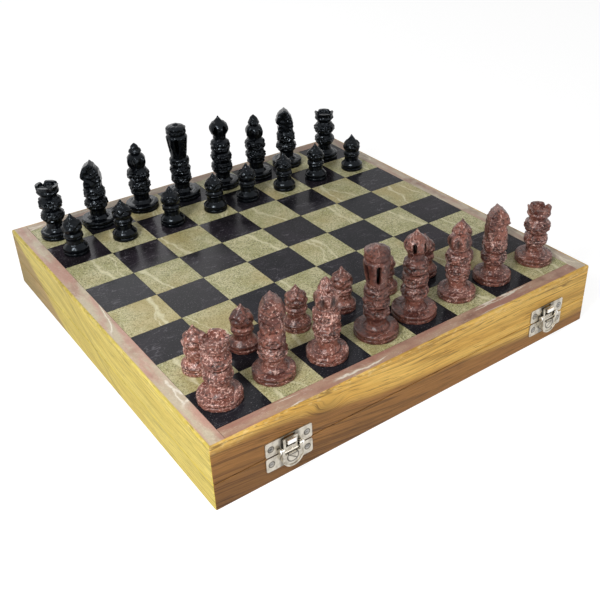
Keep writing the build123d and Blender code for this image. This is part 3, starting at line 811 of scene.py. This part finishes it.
def rook_shape(foot_radius):
    outline = foot(foot_radius) + [
        (5.7, 12.6), (7.4, 14.4), (7.0, 21.4, 1.4), (6.6, 23.4, -0.3), (6.6, 32.4, 2.4),
        (6.2, 34.4, -0.3), (8.2, 37.0), (8.3, 42.0, -0.4), (6.2, 42.0), (5.6, 39.8),
    ]
    rook = carved(turned(outline, steps=88), [
        ("eye", 18.0, 3.0, 4, 0.4, 1.2), ("eye", 27.9, 4.2, 4, 1.2, 1.5),
        ("scallop", 38.6, 1.6, 8, 0, 0.7), ("ring", 22.5, 0.8, 1, 0, 0.9),
        ("bands", 18.0, 4.0, 3, 0, 0.7), ("bands", 28.0, 5.0, 3, 1, 0.8),
    ])
    for v in rook.verts:
        if v.co.z > 38.2:
            notch = bell(min(abs(v.co.x), abs(v.co.y)) / 1.15)
            v.co.z -= notch * min(2.6, v.co.z - 38.2)
    return rook


def bishop_shape():
    outline = foot(12.7) + [
        (6.0, 12.6), (7.6, 14.2), (6.8, 16.4, 0.4), (6.8, 24.6, 1.6), (7.0, 33.8, 1.6),
        (6.2, 35.6, -0.4), (3.6, 46.6, 3.0), (4.9, 48.0), (0.4, 54.9, 0.7),
    ]
    return carved(turned(outline, steps=88), [
        ("eye", 20.4, 3.4, 4, 0.2, 1.4), ("eye", 29.4, 3.6, 4, 0.98, 1.5),
        ("flute", 40.6, 4.6, 6, 0.3, 1.7), ("scallop", 50.4, 2.0, 4, 0, 0.8),
        ("ring", 25.0, 0.8, 1, 0, 0.8), ("ring", 34.9, 0.8, 1, 0, 0.8),
        ("bands", 20.0, 5.0, 3, 0, 0.7), ("bands", 29.5, 5.0, 3, 1, 0.7),
    ])


def queen_shape():
    outline = foot(14.2) + [
        (6.0, 12.0), (7.6, 14.0), (7.0, 20.6, 1.2), (7.0, 27.4, 1.2), (7.6, 33.4, 0.8),
        (6.4, 36.2, -0.3), (8.4, 50.4), (7.2, 53.2, 0.5), (7.9, 55.0), (7.9, 59.0),
        (2.4, 61.0, 0.6), (0.4, 62.4, 0.4),
    ]
    return carved(turned(outline, steps=96), [
        ("eye", 17.6, 3.0, 4, 0.5, 1.4), ("eye", 24.2, 3.0, 4, 1.3, 1.3),
        ("scallop", 31.0, 2.0, 8, 0.1, 0.8), ("slot", 45.1, 6.3, 6, 0, 4.4),
        ("scallop", 57.0, 1.5, 12, 0, 0.5), ("ring", 34.6, 0.8, 1, 0, 0.7),
        ("ring", 27.6, 0.8, 1, 0, 0.9), ("ring", 20.8, 0.8, 1, 0, 0.9),
        ("bands", 24.0, 9.0, 3, 0, 0.7),
    ])


def king_shape(foot_radius):
    outline = foot(foot_radius) + [
        (6.0, 12.0), (7.8, 14.0), (7.0, 22.4, 1.4), (7.0, 31.0, 1.4), (7.4, 39.6, 1.0),
        (5.2, 42.6, -0.3), (5.4, 45.2), (5.2, 55.8, 2.6), (0.4, 61.0, -0.6),
    ]
    return carved(turned(outline, steps=96), [
        ("eye", 18.4, 3.4, 4, 0.1, 1.4), ("eye", 26.8, 3.5, 4, 0.9, 1.5),
        ("scallop", 35.6, 2.6, 6, 0.3, 1.1), ("slot", 50.1, 3.5, 6, 0, 3.4),
        ("ring", 41.4, 0.8, 1, 0, 0.7), ("ring", 22.6, 0.8, 1, 0, 0.9),
        ("ring", 31.2, 0.8, 1, 0, 0.9), ("bands", 27.0, 12.0, 3, 0, 0.7),
    ])


def knight_shape(height):
    outline = foot(12.9) + [
        (6.0, 12.6), (7.6, 14.2), (6.8, 22.0, 1.4), (7.0, 30.0, 1.4), (6.4, 32.0),
    ]
    knight = carved(turned(outline, steps=88), [
        ("eye", 18.2, 3.2, 4, 0.6, 1.4), ("eye", 26.2, 3.2, 4, 0.0, 1.4),
        ("ring", 22.2, 0.8, 1, 0, 0.9), ("bands", 22.0, 8.0, 3, 0, 0.7),
    ])
    # The head starts as a flat slab. Its outline is the neck, then the face, whose heights are
    # counted down from the top of the head.
    head_half = 5.5
    neck = [(-6.9, 36.0), (-6.0, 31.0), (6.4, 31.0)]
    face = [
        (7.0, -17.1), (5.4, -13.5), (8.4, -11.1), (7.4, -7.7), (6.4, -5.1), (4.4, -2.7),
        (0.6, 0.0), (-2.6, -2.3), (-5.4, -6.5), (-6.6, -11.1),
    ]
    profile = neck + [(x, height + drop) for x, drop in face]
    head = bmesh.new()
    hollow = head.verts.layers.float.new("hollow")
    head.verts.layers.float.new("paler")
    outline_face = head.faces.new([head.verts.new((x, -head_half, z)) for x, z in profile])
    pushed = bmesh.ops.extrude_face_region(head, geom=[outline_face])["geom"]
    far_side = [g for g in pushed if isinstance(g, bmesh.types.BMVert)]
    bmesh.ops.translate(head, verts=far_side, vec=(0, 2 * head_half, 0))
    bmesh.ops.recalc_face_normals(head, faces=head.faces)
    rim = [e for e in head.edges if abs(e.verts[0].co.y - e.verts[1].co.y) < 0.1]
    bmesh.ops.bevel(
        head, geom=rim, offset=1.6, segments=3, profile=0.5, affect="EDGES", material=-1
    )
    for k in range(-9, 10):
        upright, level = ((k * 0.9, 0, 0), (1, 0, 0)), ((0, 0, height - 10 + k), (0, 0, 1))
        for spot, axis in (upright, level):
            whole = head.verts[:] + head.edges[:] + head.faces[:]
            bmesh.ops.bisect_plane(head, geom=whole, dist=1e-5, plane_co=spot, plane_no=axis)
    bmesh.ops.triangulate(head, faces=[f for f in head.faces if len(f.verts) > 4])
    head.normal_update()
    for v in head.verts:
        x, drop = v.co.x, v.co.z - height
        mane = 0.5 + 0.5 * sin(drop * 2.3 + x * 1.6)
        cut = 0.9 * mane * min(1.0, max(0.0, (0.5 - x) / 2)) + 1.3 * bell(
            hypot(x - 2.6, drop + 8.6) / 1.2
        ) + 0.7 * bell((drop + 13.0 - 0.3 * x) / 0.7) * (x > 0)
        if v.co.z > 32 and abs(v.co.y) > 3.8:
            v.co.y *= 1 - cut / head_half
            # The cut depth, for the painted shade in the head's cuts.
            v[hollow] = min(1.2, cut)
    chipped(head, depth=0.5, seed=3.0)
    moved = bpy.data.meshes.new("head")
    head.to_mesh(moved)
    head.free()
    knight.from_mesh(moved)
    bpy.data.meshes.remove(moved)
    return knight


def men_stone(name, tones, fleck_share, roughness, gloss, vein_share, pits):
    """Waxed stone in four tones: its body, clouds, flecks and dark spots.

    A few thin veins have the flecks' tone. The cuts are painted darkest, as shade, and what
    stands out is painted lighter, as light. fleck_share is how much more of it is flecked,
    and pits is the depth of its pits in metres.
    """
    body, cloudy, fleck, dark = [tone(code) for code in tones]
    stone = Finish(name, IOR=1.5, Specular_IOR_Level=gloss)
    place = stone.place()
    hollow = stone.node("ShaderNodeAttribute", {"attribute_name": "hollow"}, {}, out="Fac")
    paler = stone.node("ShaderNodeAttribute", {"attribute_name": "paler"}, {}, out="Fac")
    clouds = stone.cloud(place, 110.0, 4.0, 0.6)
    flecks = stone.cloud(place, 760.0, 4.0, 0.7)
    spots = stone.cloud(place, 620.0, 3.0, 0.6)
    colour = stone.mixed(body, cloudy, stone.step(clouds, 0.36, 0.62).larger(paler))
    colour = stone.mixed(colour, dark, stone.step(spots, 0.50, 0.66, 0.0, 0.85))
    edge = 0.68 - fleck_share - paler * 0.06
    share = stone.step(flecks - edge, 0.0, 0.10, 0.0, 0.9)
    colour = stone.mixed(colour, fleck, share)
    line = abs(stone.cloud(place, 46.0, 4.0, 0.6, 0.6) - 0.5)
    colour = stone.mixed(colour, fleck, stone.step(line, 0.0, 0.008, vein_share, 0.0))
    # Painted shade in the cuts and painted light on what stands out, read from "hollow"; paler
    # scales a whole man's stone.
    colour = stone.shaded(colour, stone.step(hollow, -0.6, 2.0, 1.32, 0.06) * (1 + paler * 0.3))
    stone.set(Base_Color=colour, Roughness=roughness + flecks * 0.25)
    stone.bump(flecks + spots, pits, 0.6)
    return stone


red_stone = men_stone(
    "red_stone", ("4b2721", "784b3f", "d8b2a6", "221110"), fleck_share=0.10, roughness=0.20,
    gloss=0.38, vein_share=0.6, pits=0.00022,
)
jet_stone = men_stone(
    "jet_stone", ("030406", "06080c", "3a4048", "020203"), fleck_share=-0.02, roughness=0.02,
    gloss=0.2, vein_share=0.1, pits=0.00008,
)
jet_stone.set(Specular_Tint=(0.80, 0.90, 1.0, 1.0))
# How far, in millimetres, each man of a row stands from the middle of his square.
nudges = {
    "red_back": [
        (-3, 3.5), (-2.5, 3.5), (-2.5, -0.5), (0, 0), (-2.5, 2), (-1, 1.5), (-2.5, 2), (3.5, 1.5),
    ],
    "red_front": [(0, 0), (-2.5, 2), (0, 0), (0, 0), (0, 0), (0, 0), (0, 0), (0, 0)],
    "dark_front": [
        (-2, 0.5), (0.5, -0.5), (4, -2), (6.5, -1.5), (1.6, -1), (0.8, -2.5), (-2, -2), (-1, -5),
    ],
    "dark_back": [
        (-4, -1.6), (-5.2, -1.5), (-2.5, 2), (-2, 1.5), (-1, -1.5), (-4, -2.5), (-5, 2.5),
        (-4.7, -5.5),
    ],
}
# How much paler than its fellows the stone of a man is.
pale_men = {
    "red_back": [0.5, 0.1, 0.3, -0.9, -0.3, 0.3, 0.1, 0.1],
    "red_front": [0.7, -0.2, 0.1, 0.0, -0.3, 0.0, -0.2, 0.1],
    "dark_front": [0.0] * 8,
    "dark_back": [0.0] * 8,
}
board_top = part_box("light_tiles")[1].z
# Each kind's shape, files and row, and what its shape takes for each army.
kinds = {
    "rooks": (rook_shape, (0, 7), "back", {"red": [13.1], "dark": [11.0]}),
    "knights": (knight_shape, (1, 6), "back", {"red": [54.5], "dark": [50.6]}),
    "bishops": (bishop_shape, (2, 5), "back", {"red": [], "dark": []}),
    "queen": (queen_shape, (3,), "back", {"red": [], "dark": []}),
    "king": (king_shape, (4,), "back", {"red": [14.6], "dark": [13.0]}),
    "pawns": (pawn_shape, range(8), "front", {"red": [], "dark": []}),
}
ranks = {"red_back": 0, "red_front": 1, "dark_front": 6, "dark_back": 7}
# Each army's finish and slot, and which way its knights look, in degrees.
armies = {"red": (red_stone, "red_stone", -30.0), "dark": (jet_stone, "black_men_stone", 150.0)}
turn_per_file, sharp_edge = 40.0, 50
for kind, (shape, files, row, measures) in kinds.items():
    for army, (stone, slot_name, knight_turn) in armies.items():
        one_man = bpy.data.meshes.new(kind)
        shaped = shape(*measures[army])
        shaped.normal_update()
        chipped(shaped, depth=0.26, seed=1.0)
        bmesh.ops.scale(shaped, vec=(MM, MM, MM), verts=shaped.verts)
        shaped.to_mesh(one_man)
        shaped.free()
        line = f"{army}_{row}"
        group = bmesh.new()
        for file in files:
            across, along = nudges[line][file]
            turn = radians(knight_turn if kind == "knights" else turn_per_file * file)
            spot = Vector((
                (file - middle_file) * square + across * MM,
                (ranks[line] - middle_file) * square + along * MM,
                board_top,
            ))
            placed = one_man.copy()
            placed.transform(Matrix.Translation(spot) @ Matrix.Rotation(turn, 4, "Z"))
            paler = [pale_men[line][file]] * len(placed.vertices)
            placed.attributes["paler"].data.foreach_set("value", paler)
            group.from_mesh(placed)
            bpy.data.meshes.remove(placed)
        bpy.data.meshes.remove(one_man)
        men_mesh = bpy.data.meshes.new(f"carved_{army}_{kind}")
        group.to_mesh(men_mesh)
        group.free()
        men_mesh.polygons.foreach_set("use_smooth", [True] * len(men_mesh.polygons))
        men_mesh.set_sharp_from_angle(angle=radians(sharp_edge))
        men_piece = bpy.data.objects.new(f"carved_{army}_{kind}", men_mesh)
        bpy.context.scene.collection.objects.link(men_piece)
        men_mesh.materials.append(stone.material)
        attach(men_piece, "lid")
        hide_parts(f"{army}_{kind}")
